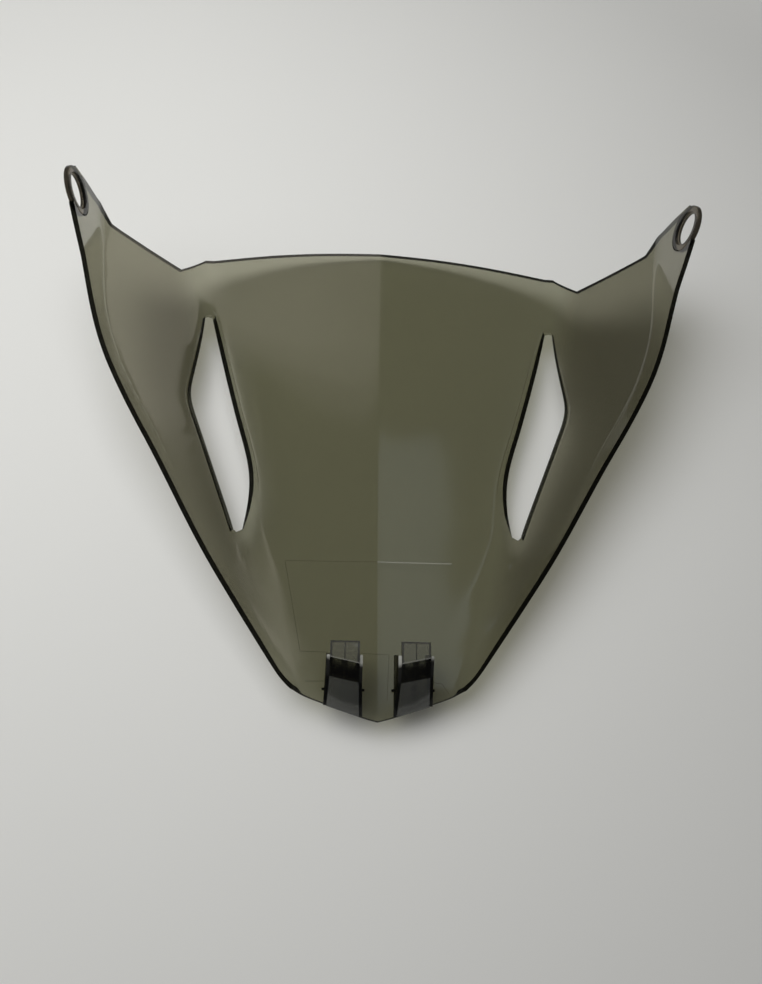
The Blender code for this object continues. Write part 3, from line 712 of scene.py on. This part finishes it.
def area_lamp(name, place, size, power, colour):
    """Soft square lamp that looks at the origin."""
    deselect()
    aim = (-Vector(place)).to_track_quat("-Z", "Y").to_euler()
    bpy.ops.object.light_add(type="AREA", location=place, rotation=aim)
    lamp = bpy.context.view_layer.objects.active
    lamp.name = name
    lamp.data.name = name
    lamp.data.size = size
    lamp.data.energy = power
    lamp.data.color = colour
    return lamp


def seen_directly(tree, kinds):
    """Socket that is one for the named kinds of rays."""
    path = tree.nodes.new("ShaderNodeLightPath")
    total = path.outputs[kinds[0]]
    for kind in kinds[1:]:
        total = calculate(tree, "MAXIMUM", total, path.outputs[kind])
    return total


def table_material(colour):
    """Pale matt table top with a faint mottle, evenly pale far from the screen."""
    material, tree, output = new_material("pale_table")
    add, link = tree.nodes.new, tree.links.new
    place = add("ShaderNodeTexCoord")
    matt = add("ShaderNodeBsdfPrincipled")
    matt.inputs["Roughness"].default_value = 0.7
    link(mottled(tree, colour, 0.01, noise(tree, place, scale=6.0, detail=4.0)),
         matt.inputs["Base Color"])
    distance = add("ShaderNodeVectorMath")
    distance.operation = "LENGTH"
    link(place.outputs["Object"], distance.inputs[0])
    share = calculate(
        tree, "MULTIPLY", smooth_ramp(tree, distance.outputs["Value"], *TABLE_FADE),
        seen_directly(tree, ("Is Camera Ray", "Is Glossy Ray", "Is Transmission Ray")))
    pale = add("ShaderNodeEmission")
    pale.inputs["Color"].default_value = (*(TABLE_FAR * c for c in colour), 1.0)
    link(shader_mix(tree, share, matt.outputs["BSDF"], pale.outputs["Emission"]),
         output.inputs["Surface"])
    return material


class WINDSHIELD_OT_stage(bpy.types.Operator):
    """Add the table, the lamps, the plain surroundings and the camera"""

    bl_idname = "windshield.stage"
    bl_label = "Table, lamps and camera"

    def execute(self, context):
        """Set up the stage."""
        settings = context.scene.windshield_stage
        deselect()
        bpy.ops.mesh.primitive_plane_add(size=settings.table_size, location=(0, 0, 0))
        table = bpy.context.view_layer.objects.active
        table.name = "table_top"
        table.data.materials.append(table_material(settings.table_colour))

        for name, place, size, power in KEY_LAMPS:
            lamp = area_lamp(name, place, size, power, LAMP_COLOUR)
            lamp.visible_glossy = False
        for name, place, size, power, colour in GLEAMS:
            gleam = area_lamp(name, place, size, power, colour)
            gleam.visible_diffuse = False
        world = bpy.data.worlds.new("plain_room")
        context.scene.world = world
        world.use_nodes = True
        room = world.node_tree.nodes["Background"]
        room.inputs["Color"].default_value = (1.0, 1.0, 1.0, 1.0)
        seen = seen_directly(world.node_tree, ("Is Camera Ray", "Is Transmission Ray"))
        strength = map_range(world.node_tree, seen, (0.0, 1.0),
                             (settings.room_light, settings.room_seen))
        world.node_tree.links.new(strength, room.inputs["Strength"])

        context.scene.view_settings.view_transform = "Standard"
        deselect()
        bpy.ops.object.camera_add(location=settings.camera_place,
                                  rotation=settings.camera_turn)
        camera = bpy.context.view_layer.objects.active
        camera.name = "bench_camera"
        camera.data.sensor_fit = "VERTICAL"
        camera.data.sensor_height = 24.0
        camera.data.lens = settings.lens
        camera.data.clip_start = 0.01
        camera.data.clip_end = 20.0
        context.scene.camera = camera
        return {"FINISHED"}


SECTIONS = (                       # operator, name of its settings on the scene, their class
    (WINDSHIELD_OT_screen_panel, "windshield_screen", ScreenSettings),
    (WINDSHIELD_OT_eyelets, "windshield_eyelets", EyeletSettings),
    (WINDSHIELD_OT_hook_clips, "windshield_clips", ClipSettings),
    (WINDSHIELD_OT_stage, "windshield_stage", StageSettings),
)


class VIEW3D_PT_windshield(bpy.types.Panel):
    """Builders and sizes of the windshield screen."""

    bl_label = "Windshield screen"
    bl_space_type = "VIEW_3D"
    bl_region_type = "UI"
    bl_category = "Screen"

    def draw(self, context):
        """List each builder with its sizes."""
        for operator, group, _ in SECTIONS:
            box = self.layout.box()
            box.operator(operator.bl_idname)
            settings = getattr(context.scene, group)
            for name in settings.bl_rna.properties.keys():
                if name not in ("rna_type", "name"):
                    box.prop(settings, name)


def register():
    """Register the classes and their settings."""
    for operator, group, settings in SECTIONS:
        bpy.utils.register_class(settings)
        bpy.utils.register_class(operator)
        setattr(bpy.types.Scene, group, bpy.props.PointerProperty(type=settings))
    bpy.utils.register_class(VIEW3D_PT_windshield)


def unregister():
    """Take the panel, the settings and the builders away again."""
    bpy.utils.unregister_class(VIEW3D_PT_windshield)
    for operator, group, settings in reversed(SECTIONS):
        delattr(bpy.types.Scene, group)
        bpy.utils.unregister_class(operator)
        bpy.utils.unregister_class(settings)


def main():
    """Build every piece and the stage."""
    register()
    bpy.ops.windshield.screen_panel()
    bpy.ops.windshield.eyelets()
    bpy.ops.windshield.hook_clips()
    bpy.ops.windshield.stage()


if __name__ == "__main__":
    main()
